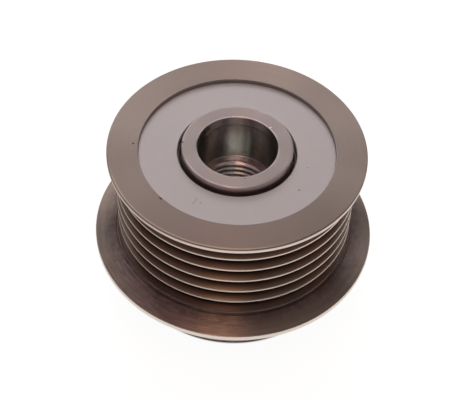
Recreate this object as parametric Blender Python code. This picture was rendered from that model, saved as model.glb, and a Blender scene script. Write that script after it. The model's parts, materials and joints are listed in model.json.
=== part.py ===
"""Overrunning alternator pulley, alternator side up, standing on the collar at its front.

Radii grow outwards from the hub's bore to the belt grooves, and heights grow upwards from the
collar's front face, so that whatever fits a size moves with it. Sizes are in millimetres, and
every mesh is turned or cut in those and then scaled to metres.
"""

import math

import bmesh
import bpy
from mathutils import Matrix, Vector

MM = 0.001

# Clearances: what a press fit or a contact keeps open here, and what a ball or roller needs to turn
SEAT_GAP = 0.3
BALL_GAP = 0.2
POCKET_GAP = 0.25

# Hub bore: a pilot bore at the alternator end, a metric thread, and a toothed socket at the front
PILOT_R = 8.5
PILOT_DEPTH = 12.0
PILOT_CHAMFER = 0.35
LEAD_IN = 1.5
THREAD_MAJOR_R = 8.0
THREAD_PITCH = 1.5
THREAD_HEIGHT_SHARE = 0.5413
SOCKET_TEETH = 33
SOCKET_TIP_R = 8.4
SOCKET_TOOTH = 0.8
SOCKET_DEPTH = 9.0

# Hub outside: a wall round the pilot bore, and a thicker middle for the bearings and rollers
HUB_END_WALL = 3.4
HUB_SEAT_STEP = 0.6
HUB_PROUD = 0.6
HUB_EDGE = 0.35
HUB_FRONT_RECESS = 0.4
HUB_FRONT_CHAMFER = 0.5

# The two bearings that carry the pulley on the hub
BEARING_SECTION = 6.0
BEARING_WIDTH = 7.0
RACEWAY_WALL = 0.75
RACEWAY_SHOULDER = 0.75
BALLS = 12
CAGE_HALF_WALL = 0.6
CAGE_BASE = 0.7
CAGE_PRONG = 1.0

# The one-way clutch between the bearings
ROLLERS = 8
CAM_WALL = 1.9
RAMP_POCKET = 0.9
RAMP_SLOPE = 0.08
ROLLER_TRAVEL_DEG = 1.5
CLUTCH_CAGE_RIM = 1.2
SPRING_ROOM = 3.0
SPRING_LEGS = 3
SPRING_LEAF = 0.4  # along the radius, at a fold
SPRING_MARGIN = 0.5
SPRING_WIDTH_SHARE = 0.7

# Seals and the cover plate
FRONT_SEAL_WIDTH = 3.0
REAR_SEAL_WIDTH = 2.6
SEAL_WALL = 1.0
SEAL_LIP = 0.4
PLATE_THICKNESS = 1.2
PLATE_DEPTH = 0.9
PLATE_LEDGE = 2.6
PLATE_RUNNING_GAP = 0.86
PLATE_EDGE = 0.15

# Pulley body outside, from the front collar up to the rear flange
COLLAR_WALL = 3.1
COLLAR_LENGTH = 11.2
COLLAR_CHAMFER = 0.5
MOUTH_STEP = 2.4
MOUTH_DEPTH = 3.2
MOUTH_CHAMFER = 0.6
SNAP_GROOVE_START = 1.3
SNAP_GROOVE_WIDTH = 0.8
SNAP_GROOVE_DEPTH = 0.5
FRONT_RIM = 1.3
FRONT_CONE = 1.6
FRONT_FLANGE_RISE = 5.25
FRONT_LAND = 0.2
REAR_CONE = 0.94
REAR_RIM = 1.0
REAR_FLANGE_RISE = 1.85

# Belt grooves
GROOVES = 6
GROOVE_PITCH = 3.56
GROOVE_ANGLE_DEG = 40.0
CREST_FLAT = 0.42
ROOT_FLAT = 0.70
RIM_WALL = 4.05

# How many straight sides stand for a circle
BODY_SIDES = 48
HUB_SIDES = 36
PLATE_SIDES = 48
SEAL_SIDES = 24
RING_SIDES = 24
CLUTCH_SIDES = 24
ROLLER_SIDES = 10
BALL_SIDES = 6
BALL_RINGS = 5
SHARP_DEG = 30.0

# Radii that follow
THREAD_MINOR_R = THREAD_MAJOR_R - THREAD_HEIGHT_SHARE * THREAD_PITCH
HUB_END_R = PILOT_R + HUB_END_WALL
HUB_SEAT_R = HUB_END_R + HUB_SEAT_STEP
BEARING_OUTER_R = HUB_SEAT_R + BEARING_SECTION
BALL_PITCH_R = HUB_SEAT_R + BEARING_SECTION / 2
BALL_R = BEARING_SECTION / 2 - SEAT_GAP - RACEWAY_WALL - BALL_GAP
ROLLER_R = (BEARING_SECTION - 3 * SEAT_GAP - CAM_WALL) / 2
ROLLER_PITCH_R = HUB_SEAT_R + SEAT_GAP + ROLLER_R
RAMP_R = ROLLER_PITCH_R + ROLLER_R + SEAT_GAP
CAM_LAND_R = RAMP_R - RAMP_POCKET
MOUTH_R = BEARING_OUTER_R + MOUTH_STEP
COLLAR_R = MOUTH_R + COLLAR_WALL
RECESS_R = BEARING_OUTER_R + PLATE_LEDGE
PLATE_HOLE_R = HUB_END_R + PLATE_RUNNING_GAP
ROOT_R = BEARING_OUTER_R + RIM_WALL
FLANK_TAN = math.tan(math.radians(GROOVE_ANGLE_DEG / 2))
FLANK_RUN = (GROOVE_PITCH - CREST_FLAT - ROOT_FLAT) / 2
CREST_R = ROOT_R + FLANK_RUN / FLANK_TAN
FRONT_FLANGE_R = CREST_R + FRONT_FLANGE_RISE
REAR_FLANGE_R = CREST_R + REAR_FLANGE_RISE

# Heights that follow
FRONT_CONE_Z = COLLAR_LENGTH + FRONT_RIM
LAND_Z = FRONT_CONE_Z + FRONT_CONE
GROOVES_Z = LAND_Z + FRONT_LAND
REAR_CONE_Z = GROOVES_Z + GROOVES * GROOVE_PITCH
REAR_RIM_Z = REAR_CONE_Z + REAR_CONE
REAR_FACE_Z = REAR_RIM_Z + REAR_RIM
PLATE_TOP_Z = REAR_FACE_Z - PLATE_DEPTH
PLATE_Z = PLATE_TOP_Z - PLATE_THICKNESS
RECESS_Z = PLATE_Z - SEAT_GAP
REAR_SEAL_Z = RECESS_Z - REAR_SEAL_WIDTH
REAR_BEARING_Z = REAR_SEAL_Z - SEAT_GAP - BEARING_WIDTH
FRONT_BEARING_Z = MOUTH_DEPTH + FRONT_SEAL_WIDTH + SEAT_GAP
CLUTCH_Z = FRONT_BEARING_Z + BEARING_WIDTH + SEAT_GAP
CLUTCH_TOP_Z = REAR_BEARING_Z - SEAT_GAP
ROLLER_Z = CLUTCH_Z + CLUTCH_CAGE_RIM + SEAT_GAP
ROLLER_TOP_Z = CLUTCH_TOP_Z - CLUTCH_CAGE_RIM - SEAT_GAP
HUB_FRONT_Z = MOUTH_DEPTH - HUB_FRONT_RECESS
HUB_TOP_Z = REAR_FACE_Z + HUB_PROUD


def clear_scene():
    """Start from nothing, also when run twice from the text editor."""
    for old in list(bpy.data.objects):
        bpy.data.objects.remove(old, do_unlink=True)


def channel(value):
    """One screen colour channel, 0 to 255, as the linear value that a shader takes."""
    share = value / 255
    return share / 12.92 if share <= 0.04045 else ((share + 0.055) / 1.055) ** 2.4


def finish(name, screen_colour, roughness, metallic):
    material = bpy.data.materials.new(name)
    material.use_nodes = True
    shader = material.node_tree.nodes["Principled BSDF"]
    shader.inputs["Base Color"].default_value = [*map(channel, screen_colour), 1.0]
    shader.inputs["Roughness"].default_value = roughness
    shader.inputs["Metallic"].default_value = metallic
    return material


def link(name, mesh, material=None, parent=None):
    """An object in the scene; a mesh that already has a material keeps it."""
    piece = bpy.data.objects.new(name, mesh)
    if material:
        mesh.materials.append(material)
    bpy.context.collection.objects.link(piece)
    piece.parent = parent
    return piece


def axis_empty(name, height):
    """The centre on the pulley's axis that a set of small pieces turns about."""
    empty = link(name, None)
    empty.location.z = height * MM
    return empty


def mesh_from(bm, name):
    """Scale to metres, face outwards, and shade smooth with crisp corners."""
    bmesh.ops.scale(bm, vec=Vector((MM, MM, MM)), verts=bm.verts)
    bmesh.ops.recalc_face_normals(bm, faces=bm.faces)
    mesh = bpy.data.meshes.new(name)
    bm.to_mesh(mesh)
    bm.free()
    mesh.shade_smooth()
    mesh.set_sharp_from_angle(angle=math.radians(SHARP_DEG))
    return mesh


def at_angle(radius, angle, height):
    return Vector((radius * math.cos(angle), radius * math.sin(angle), height))


def ring_mesh(name, sections):
    """A closed ring through sections, each an angle and its outline of (radius, height) points."""
    bm = bmesh.new()
    loops = [[bm.verts.new(at_angle(r, angle, z)) for r, z in outline] for angle, outline in sections]
    for near, far in zip(loops, loops[1:] + loops[:1]):
        for i in range(len(near)):
            j = (i + 1) % len(near)
            bm.faces.new((near[i], far[i], far[j], near[j]))
    return mesh_from(bm, name)


def turned(name, outline, sides, material):
    """A ring with the same outline all round, as a lathe leaves it."""
    sections = [(math.tau * k / sides, outline) for k in range(sides)]
    return link(name, ring_mesh(name, sections), material)


def prism(bm, outline, bottom, top):
    """A closed prism on a flat outline of (x, y) points, added to the mesh."""
    face = bm.faces.new([bm.verts.new((x, y, bottom)) for x, y in outline])
    lifted = bmesh.ops.extrude_face_region(bm, geom=[face], use_keep_orig=True)["geom"]
    corners = [item for item in lifted if isinstance(item, bmesh.types.BMVert)]
    bmesh.ops.translate(bm, vec=Vector((0, 0, top - bottom)), verts=corners)


def cut(piece, name, bm):
    """Take the cutter's mesh out of the piece."""
    cutter = link(name, mesh_from(bm, name))
    cutter.hide_render = True
    cutter.display_type = "WIRE"
    modifier = piece.modifiers.new(name, "BOOLEAN")
    modifier.operation = "DIFFERENCE"
    modifier.object = cutter


def groove_outline():
    """The belt grooves from the rear flange down: each is a flank, a flat root and a flank."""
    points = []
    for k in range(GROOVES):
        top = REAR_CONE_Z - k * GROOVE_PITCH - CREST_FLAT / 2
        points += [
            (CREST_R, top),
            (ROOT_R, top - FLANK_RUN),
            (ROOT_R, top - FLANK_RUN - ROOT_FLAT),
            (CREST_R, top - 2 * FLANK_RUN - ROOT_FLAT),
        ]
    return points


def pulley_body(material):
    """Flanges, grooves and collar outside; recess, bearing bore and cap mouth inside."""
    groove_end = SNAP_GROOVE_START + SNAP_GROOVE_WIDTH
    outside = [
        (REAR_FLANGE_R, REAR_FACE_Z),
        (REAR_FLANGE_R, REAR_RIM_Z),
        (CREST_R, REAR_CONE_Z),
        *groove_outline(),
        (CREST_R, LAND_Z),
        (FRONT_FLANGE_R, FRONT_CONE_Z),
        (FRONT_FLANGE_R, COLLAR_LENGTH),
        (COLLAR_R, COLLAR_LENGTH),
        (COLLAR_R, COLLAR_CHAMFER),
        (COLLAR_R - COLLAR_CHAMFER, 0),
    ]
    inside = [
        (MOUTH_R + MOUTH_CHAMFER, 0),
        (MOUTH_R, MOUTH_CHAMFER),
        (MOUTH_R, SNAP_GROOVE_START),
        (MOUTH_R + SNAP_GROOVE_DEPTH, SNAP_GROOVE_START),
        (MOUTH_R + SNAP_GROOVE_DEPTH, groove_end),
        (MOUTH_R, groove_end),
        (MOUTH_R, MOUTH_DEPTH),
        (BEARING_OUTER_R, MOUTH_DEPTH),
        (BEARING_OUTER_R, RECESS_Z),
        (RECESS_R, RECESS_Z),
        (RECESS_R, REAR_FACE_Z),
    ]
    turned("pulley_body", outside + inside, BODY_SIDES, material)


def cover_plate(material):
    """A flat washer on the recess's ledge, its upper edges broken."""
    outer = RECESS_R - SEAT_GAP
    outline = [
        (PLATE_HOLE_R, PLATE_Z),
        (outer, PLATE_Z),
        (outer, PLATE_TOP_Z - PLATE_EDGE),
        (outer - PLATE_EDGE, PLATE_TOP_Z),
        (PLATE_HOLE_R + PLATE_EDGE, PLATE_TOP_Z),
        (PLATE_HOLE_R, PLATE_TOP_Z - PLATE_EDGE),
    ]
    turned("rear_cover_plate", outline, PLATE_SIDES, material)


def hub(material):
    """A sleeve through the whole pulley, bored from the rear and socketed from the front."""
    seat_front = FRONT_BEARING_Z - SEAT_GAP / 2
    seat_rear = REAR_SEAL_Z - SEAT_GAP / 2
    pilot_floor = HUB_TOP_Z - PILOT_DEPTH
    round_over = [
        (HUB_END_R - HUB_EDGE * (1 - math.cos(t)), HUB_TOP_Z - HUB_EDGE * (1 - math.sin(t)))
        for t in (0, math.pi / 4, math.pi / 2)
    ]
    outline = [
        (THREAD_MINOR_R, HUB_FRONT_Z),
        (HUB_END_R - HUB_FRONT_CHAMFER, HUB_FRONT_Z),
        (HUB_END_R, HUB_FRONT_Z + HUB_FRONT_CHAMFER),
        (HUB_END_R, seat_front),
        (HUB_SEAT_R, seat_front),
        (HUB_SEAT_R, seat_rear),
        (HUB_END_R, seat_rear),
        *round_over,
        (PILOT_R + PILOT_CHAMFER, HUB_TOP_Z),
        (PILOT_R, HUB_TOP_Z - PILOT_CHAMFER),
        (PILOT_R, pilot_floor),
        (THREAD_MINOR_R, pilot_floor - LEAD_IN),
    ]
    piece = turned("hub", outline, HUB_SIDES, material)
    teeth = []
    for k in range(2 * SOCKET_TEETH):
        radius = SOCKET_TIP_R + SOCKET_TOOTH * (k % 2)
        angle = math.pi * k / SOCKET_TEETH
        teeth.append((radius * math.cos(angle), radius * math.sin(angle)))
    bm = bmesh.new()
    prism(bm, teeth, HUB_FRONT_Z - SOCKET_TOOTH, HUB_FRONT_Z + SOCKET_DEPTH)
    cut(piece, "socket_cutter", bm)


def bearing_rings(place, bottom, steel):
    """Inner and outer ring, each with a raceway that the balls lie in."""
    top = bottom + BEARING_WIDTH
    middle = bottom + BEARING_WIDTH / 2
    reach = BALL_R + BALL_GAP
    bend = reach * math.sin(math.pi / 4)
    for name, seat, side in (
        ("inner_ring", HUB_SEAT_R + SEAT_GAP, -1),
        ("outer_ring", BEARING_OUTER_R - SEAT_GAP, 1),
    ):
        shoulder = BALL_PITCH_R + side * (reach - RACEWAY_SHOULDER)
        edge = math.sqrt(reach**2 - (reach - RACEWAY_SHOULDER) ** 2)
        outline = [
            (seat, bottom),
            (seat, top),
            (shoulder, top),
            (shoulder, middle + edge),
            (BALL_PITCH_R + side * reach, middle + bend / 2),
            (BALL_PITCH_R + side * reach, middle - bend / 2),
            (shoulder, middle - edge),
            (shoulder, bottom),
        ]
        turned(f"{place}_bearing_{name}", outline, RING_SIDES, steel)


def ball_mesh(material):
    bm = bmesh.new()
    bmesh.ops.create_uvsphere(bm, u_segments=BALL_SIDES, v_segments=BALL_RINGS, radius=BALL_R)
    mesh = mesh_from(bm, "ball")
    mesh.materials.append(material)
    return mesh


def balls(place, bottom, mesh):
    """The balls stand round the empty that carries them with their cage."""
    centre = axis_empty(f"{place}_ball_set", bottom + BEARING_WIDTH / 2)
    for k in range(BALLS):
        piece = link(f"{place}_ball_{k + 1:02d}", mesh, parent=centre)
        piece.location = at_angle(BALL_PITCH_R, math.tau * k / BALLS, 0) * MM
    return centre


def ball_cage(place, bottom, centre, plastic):
    """A crown: a base ring that rises as prongs between the balls, with a round seat under each."""
    pocket = BALL_R + POCKET_GAP
    base = CAGE_BASE - BEARING_WIDTH / 2
    seat = ((-1.05, None), (-0.8, 0.6), (0.0, 1.0), (0.8, 0.6), (1.05, None))
    sections = []
    for k in range(BALLS):
        for across, below in seat:
            angle = math.tau * k / BALLS + across * pocket / BALL_PITCH_R
            top = CAGE_PRONG if below is None else -below * pocket
            inner = BALL_PITCH_R - CAGE_HALF_WALL
            outer = BALL_PITCH_R + CAGE_HALF_WALL
            sections.append((angle, [(inner, base), (outer, base), (outer, top), (inner, top)]))
    name = f"{place}_bearing_cage"
    link(name, ring_mesh(name, sections), plastic, centre)


def pocket_angles():
    """How far the roller's pocket reaches back, where it locks, and forward, where its spring is."""
    half = math.asin(ROLLER_R / ROLLER_PITCH_R)
    back = half + math.radians(ROLLER_TRAVEL_DEG) + SEAT_GAP / ROLLER_PITCH_R
    forward = half + SPRING_ROOM / ROLLER_PITCH_R
    return back, forward


def cam_ring(steel):
    """The clutch's outer ring: over each roller a ramp that narrows against the pulley's turning."""
    back, forward = pocket_angles()
    outer = BEARING_OUTER_R - SEAT_GAP
    corner = SEAT_GAP / CAM_LAND_R
    sections = []
    for k in range(ROLLERS):
        here = math.tau * k / ROLLERS
        for angle, radius in (
            (-back - corner, CAM_LAND_R),
            (-back, RAMP_R - RAMP_SLOPE * back * ROLLER_PITCH_R),
            (0, RAMP_R),
            (forward / 2, RAMP_R + RAMP_SLOPE * forward / 2 * ROLLER_PITCH_R),
            (forward, CAM_LAND_R),
            ((forward - back + math.tau / ROLLERS) / 2, CAM_LAND_R),
        ):
            outline = [(radius, CLUTCH_Z), (outer, CLUTCH_Z), (outer, CLUTCH_TOP_Z), (radius, CLUTCH_TOP_Z)]
            sections.append((here + angle, outline))
    link("clutch_cam_ring", ring_mesh("clutch_cam_ring", sections), steel)


def clutch_cage(plastic):
    """A sleeve with a window for each roller and its spring."""
    inner = HUB_SEAT_R + SEAT_GAP
    outer = CAM_LAND_R - SEAT_GAP
    outline = [(inner, CLUTCH_Z), (outer, CLUTCH_Z), (outer, CLUTCH_TOP_Z), (inner, CLUTCH_TOP_Z)]
    piece = turned("clutch_cage", outline, CLUTCH_SIDES, plastic)
    back, forward = pocket_angles()
    bm = bmesh.new()
    for k in range(ROLLERS):
        here = math.tau * k / ROLLERS
        window = [
            (radius * math.cos(here + angle), radius * math.sin(here + angle))
            for radius, angle in (
                (inner - 1, -back),
                (outer + 1, -back),
                (outer + 1, forward),
                (inner - 1, forward),
            )
        ]
        prism(bm, window, CLUTCH_Z + CLUTCH_CAGE_RIM, CLUTCH_TOP_Z - CLUTCH_CAGE_RIM)
    cut(piece, "window_cutter", bm)


def rollers(steel):
    """Rollers that wedge together between the ramps and the hub."""
    bm = bmesh.new()
    bmesh.ops.create_cone(
        bm,
        cap_ends=True,
        segments=ROLLER_SIDES,
        radius1=ROLLER_R,
        radius2=ROLLER_R,
        depth=ROLLER_TOP_Z - ROLLER_Z,
    )
    mesh = mesh_from(bm, "roller")
    mesh.materials.append(steel)
    centre = axis_empty("clutch_roller_set", (ROLLER_Z + ROLLER_TOP_Z) / 2)
    for k in range(ROLLERS):
        piece = link(f"clutch_roller_{k + 1}", mesh, parent=centre)
        piece.location = at_angle(ROLLER_PITCH_R, math.tau * k / ROLLERS, 0) * MM


def springs(steel):
    """A leaf folded back and forth between a roller and the next bar of the cage."""
    start = ROLLER_R + SEAT_GAP
    pitch = (SPRING_ROOM - 2 * SEAT_GAP) / SPRING_LEGS
    low = HUB_SEAT_R + SEAT_GAP + SPRING_MARGIN
    high = CAM_LAND_R - SEAT_GAP - SPRING_MARGIN - SPRING_LEAF
    half_width = (ROLLER_TOP_Z - ROLLER_Z) * SPRING_WIDTH_SHARE / 2
    inner_side = [(high if i % 2 else low, start + i * pitch) for i in range(SPRING_LEGS + 1)]
    outer_side = [(radius + SPRING_LEAF, along) for radius, along in inner_side]
    bm = bmesh.new()
    prism(bm, inner_side + outer_side[::-1], -half_width, half_width)
    mesh = mesh_from(bm, "spring")
    mesh.materials.append(steel)
    for k in range(ROLLERS):
        piece = link(f"clutch_spring_{k + 1}", mesh)
        lift = Matrix.Translation((0, 0, (ROLLER_Z + ROLLER_TOP_Z) / 2 * MM))
        piece.matrix_world = Matrix.Rotation(math.tau * k / ROLLERS, 4, "Z") @ lift


def seal(name, bearing_side, outer_side, rubber):
    """A wall across the gap with a lip on the hub and a rim that reaches back to the bearing."""
    inward = math.copysign(1, bearing_side - outer_side)
    rim = BEARING_OUTER_R - SEAT_GAP
    lip = HUB_END_R + SEAT_GAP
    back = outer_side + inward * SEAL_WALL
    outline = [
        (rim, bearing_side),
        (rim, outer_side),
        (lip + SEAL_WALL, outer_side),
        (lip, back),
        (lip, back + inward * SEAL_LIP),
        (lip + SEAL_WALL, back),
        (rim - SEAL_WALL, back),
        (rim - SEAL_WALL, bearing_side),
    ]
    turned(name, outline, SEAL_SIDES, rubber)


def main():
    clear_scene()
    phosphate = finish("phosphated_steel", (133, 116, 108), 0.42, 0.9)
    turned_steel = finish("turned_hub_steel", (163, 148, 143), 0.33, 0.95)
    plated = finish("plated_sheet", (170, 160, 157), 0.5, 0.8)
    hardened = finish("hardened_steel", (176, 178, 180), 0.2, 1.0)
    spring_steel = finish("spring_steel", (150, 150, 156), 0.3, 1.0)
    cage_plastic = finish("cage_plastic", (196, 180, 140), 0.55, 0.0)
    rubber = finish("seal_rubber", (34, 32, 32), 0.75, 0.0)

    pulley_body(phosphate)
    cover_plate(plated)
    hub(turned_steel)
    ball = ball_mesh(hardened)
    for place, bottom in (("rear", REAR_BEARING_Z), ("front", FRONT_BEARING_Z)):
        bearing_rings(place, bottom, hardened)
        centre = balls(place, bottom, ball)
        ball_cage(place, bottom, centre, cage_plastic)
    cam_ring(hardened)
    clutch_cage(cage_plastic)
    rollers(hardened)
    springs(spring_steel)
    seal("rear_seal", REAR_SEAL_Z, RECESS_Z, rubber)
    seal("front_seal", MOUTH_DEPTH + FRONT_SEAL_WIDTH, MOUTH_DEPTH, rubber)


main()
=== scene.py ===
"""Looks of an overrunning alternator pulley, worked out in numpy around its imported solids.

Each finished piece stands for one solid of the frame, in the same place. Sizes are in millimetres,
as a turner's drawing gives them, and go into the meshes as metres. Radii count from the pulley's
axis, heights from the face that it stands on.
"""

import json
import math

import bpy
import numpy as np
from mathutils import Matrix, Vector


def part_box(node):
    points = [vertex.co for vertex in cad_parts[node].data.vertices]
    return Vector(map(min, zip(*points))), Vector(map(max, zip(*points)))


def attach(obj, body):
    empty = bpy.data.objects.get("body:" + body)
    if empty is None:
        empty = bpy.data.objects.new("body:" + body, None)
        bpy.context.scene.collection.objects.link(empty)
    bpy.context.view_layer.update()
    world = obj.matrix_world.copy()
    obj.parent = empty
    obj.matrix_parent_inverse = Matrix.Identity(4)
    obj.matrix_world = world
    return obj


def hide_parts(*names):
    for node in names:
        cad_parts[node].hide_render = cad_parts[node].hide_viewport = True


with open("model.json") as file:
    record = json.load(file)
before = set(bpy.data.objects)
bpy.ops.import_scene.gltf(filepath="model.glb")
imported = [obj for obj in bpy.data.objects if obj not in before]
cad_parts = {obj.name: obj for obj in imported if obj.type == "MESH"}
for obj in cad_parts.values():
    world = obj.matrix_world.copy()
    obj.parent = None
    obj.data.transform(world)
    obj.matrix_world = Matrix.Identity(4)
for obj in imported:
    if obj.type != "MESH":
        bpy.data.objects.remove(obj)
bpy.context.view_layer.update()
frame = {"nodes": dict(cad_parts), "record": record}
BODIES = frame["record"]["behaviour"]["bodies"]
BODY_OF = {node: body for body, nodes in BODIES.items() for node in nodes}
MM = 0.001
TURN = 2 * math.pi


def reach(node):
    """The outside radius, the lowest and the highest level of a solid, in millimetres."""
    low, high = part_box(node)
    return high.x / MM, low.z / MM, high.z / MM


# Levels and radii that the frame gives
FLANGE_R, _, REAR_FACE_Z = reach("pulley_body")
HUB_SEAT_R, HUB_FRONT_Z, HUB_TOP_Z = reach("hub")
_, PLATE_Z, PLATE_TOP_Z = reach("rear_cover_plate")
_, REAR_SEAL_Z, RECESS_Z = reach("rear_seal")
_, FRONT_SEAL_Z, FRONT_SEAL_TOP_Z = reach("front_seal")
RING_OUTER_R, CLUTCH_Z, CLUTCH_TOP_Z = reach("clutch_cam_ring")
BEARING_Z = {end: reach(f"{end}_bearing_outer_ring")[1:] for end in ("rear", "front")}

# Fits between the pieces
FIT_GAP = 0.3
PRESS_GAP = 0.04
BALL_GAP = 0.2
POCKET_GAP = 0.25

# Pulley body, outside
REAR_FLANGE_R = 27.75
REAR_RIM = 1.0
REAR_CONE = 0.94
GROOVES = 6
GROOVE_PITCH = 3.56
GROOVE_ANGLE_DEG = 40.0
CREST_R = 25.90
CREST_FLAT = 0.42
ROOT_R = 22.55
CREST_ROUND = 0.17
ROOT_ROUND = 0.4
FRONT_CONE = 1.6
FRONT_RIM = 1.3
COLLAR_LENGTH = 11.2
COLLAR_R = 24.0
COLLAR_CHAMFER = 0.5
GROOVES_TOP_Z = REAR_FACE_Z - REAR_RIM - REAR_CONE
LAND_Z = COLLAR_LENGTH + FRONT_RIM + FRONT_CONE

# The undercut between the lowest land and the front cone, counted out from the crests
RELIEF_START = 0.1
RELIEF_MIDDLE = 0.5
RELIEF_END = 0.66
RELIEF_DEPTH = 0.2
RELIEF_DIP = 0.06

# Pulley body, inside
RECESS_R = 21.1
BEARING_SEAT_R = 18.5
MOUTH_R = 20.9
MOUTH_CHAMFER = 0.6
SNAP_GROOVE = (1.3, 2.1)
SNAP_GROOVE_DEPTH = 0.5

# Cover plate
PLATE_HOLE_R = 12.76

# Hub
HUB_END_R = 11.9
HUB_EDGE = 0.2
WORN_EDGE = 0.3
WORN_EDGE_FALL = 0.05
HUB_CHAMFER = 0.5
PILOT_R = 8.5
PILOT_DEPTH = 12.0
PILOT_CHAMFER = 0.25
PILOT_RELIEF = 0.1
PILOT_RELIEF_DEPTH = 2.2
PILOT_FLOOR_Z = HUB_TOP_Z - PILOT_DEPTH
PILOT_RELIEF_Z = HUB_TOP_Z - PILOT_RELIEF_DEPTH
LEAD_IN = 1.5

# Thread and toothed socket
THREAD_MAJOR_R = 8.0
THREAD_MINOR_R = 7.188
THREAD_PITCH = 1.5
THREAD_ROOT_FLAT = 0.125
THREAD_CREST_FLAT = 0.25
THREAD_MOUTH = 0.1
THREAD_ROWS = 12
SOCKET_TEETH = 33
SOCKET_TIP_R = 8.4
SOCKET_TOOTH = 0.8
SOCKET_VALLEY_R = SOCKET_TIP_R + SOCKET_TOOTH
SOCKET_FLAT = 0.08
SOCKET_MOUTH = 0.25
SOCKET_DEPTH = 9.0
SOCKET_MOUTH_LEVELS = (0, 0.02, 0.15, 0.3, 0.5)
SOCKET_WALL_LEVELS = (0.6, 1.2, SOCKET_DEPTH - 0.15, SOCKET_DEPTH - 0.05)
SOCKET_STEP = 0.08

# Seals
SEAL_WALL = 1.0
SEAL_RIM = 1.0
SEAL_DISH = 0.25
SEAL_DISH_EDGE = 1.6
SEAL_DISH_SLOPE = 0.3
SEAL_LIP_WALL = 1.1
SEAL_BEAD = 0.4

# Bearings
BALL_PITCH_R = 15.5
BALL_R = 1.75
BALLS = 12
SHOULDER = 0.75
CAGE_HALF_WALL = 0.6
CAGE_BASE = 0.7
CAGE_PRONG = 1.0
CAGE_PRONG_EDGE = 0.12

# Clutch
ROLLERS = 8
ROLLER_R = 1.6
ROLLER_PITCH_R = 14.4
RAMP_R = 16.3
RAMP_POCKET = 0.9
RAMP_SLOPE = 0.08
RAMP_BACK_STEP = 0.02
ROLLER_TRAVEL_DEG = 1.5
SPRING_ROOM = 3.0
SPRING_LEGS = 3
SPRING_LEAF = 0.4
SPRING_FOLD = 0.12
SPRING_EDGE = 0.06
SPRING_MARGIN = 0.5

# How finely the surfaces are divided
BODY_COLUMNS = 240
HUB_COLUMNS = 10 * SOCKET_TEETH
RING_COLUMNS = 144
CAGE_COLUMNS = 40 * BALLS
CAM_COLUMNS = 60 * ROLLERS
ROLLER_COLUMNS = 48
BALL_COLUMNS = 24
BALL_ROWS = 13
TRACK_ROWS = 25
CORNER_STEPS = 5
CORNER_SHARE = 0.42
SUPPORT = 0.05
SUPPORT_SHARE = 0.15


# Surfaces


def rounded(corners, closed=True):
    """An outline with rounded corners, from rows of (x, y, corner radius).

    Each corner becomes an arc that touches both of its sides: its centre lies on the corner's
    bisector at radius / sin(half angle), and its points turn evenly from one side's normal to the
    other's. One more point stands a little beyond each end of the arc, so that shading stays flat
    on the sides. A corner takes at most CORNER_SHARE of its shorter side. An open outline keeps its
    two ends as they are.
    """
    rows = np.asarray(corners, float)
    point, radius = rows[:, :2], rows[:, 2:3]
    back, ahead = np.roll(point, 1, axis=0) - point, np.roll(point, -1, axis=0) - point
    back_length = np.linalg.norm(back, axis=1, keepdims=True)
    ahead_length = np.linalg.norm(ahead, axis=1, keepdims=True)
    back, ahead = back / back_length, ahead / ahead_length
    half = np.arccos(np.clip((back * ahead).sum(1, keepdims=True), -1, 1)) / 2
    room = CORNER_SHARE * np.minimum(back_length, ahead_length)
    touch = np.minimum(radius / np.tan(half), room)
    radius = touch * np.tan(half)
    bisector = back + ahead
    bisector /= np.linalg.norm(bisector, axis=1, keepdims=True)
    centre = point + bisector * radius / np.sin(half)
    first = (point + back * touch - centre) / radius
    last = (point + ahead * touch - centre) / radius
    sweep = (math.pi - 2 * half)[:, None, :]
    share = np.linspace(0, 1, CORNER_STEPS)[None, :, None]
    turn = np.sin((1 - share) * sweep) * first[:, None] + np.sin(share * sweep) * last[:, None]
    arc = centre[:, None] + radius[:, None] * turn / np.sin(sweep)
    beyond = touch + np.minimum(SUPPORT, SUPPORT_SHARE * room)
    before, after = (point + back * beyond)[:, None], (point + ahead * beyond)[:, None]
    outline = np.concatenate((before, arc, after), axis=1)
    if closed:
        return outline.reshape(-1, 2)
    return np.concatenate((point[:1], outline[1:-1].reshape(-1, 2), point[-1:]))


def around(columns):
    """Even angles round the axis, as a column."""
    return np.arange(columns)[:, None] * TURN / columns


def ring_surface(angle, radius, height):
    """A closed ring: each row of radius and height is the outline at one angle round the axis.

    Point (i, k) is (radius cos angle, radius sin angle, height), and the grid closes on itself both
    ways. Where the outline runs clockwise, it is turned round so that the faces look outwards.
    """
    radius, height = np.broadcast_arrays(radius, height)
    area = (radius[0] * np.roll(height[0], -1) - np.roll(radius[0], -1) * height[0]).sum()
    if area < 0:
        radius, height = radius[:, ::-1], height[:, ::-1]
    radius, height = np.broadcast_arrays(radius, height, np.zeros((len(angle), 1)))[:2]
    points = np.stack((radius * np.cos(angle), radius * np.sin(angle), height), axis=-1)
    columns, rows = radius.shape
    index = np.arange(columns * rows).reshape(columns, rows)
    right = np.roll(index, -1, axis=0)
    faces = np.stack((index, right, np.roll(right, -1, axis=1), np.roll(index, -1, axis=1)), axis=-1)
    return points.reshape(-1, 3), faces.reshape(-1, 4)


def turned(outline, columns):
    """The same outline all round, as a lathe leaves it."""
    return ring_surface(around(columns), outline[None, :, 0], outline[None, :, 1])


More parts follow.
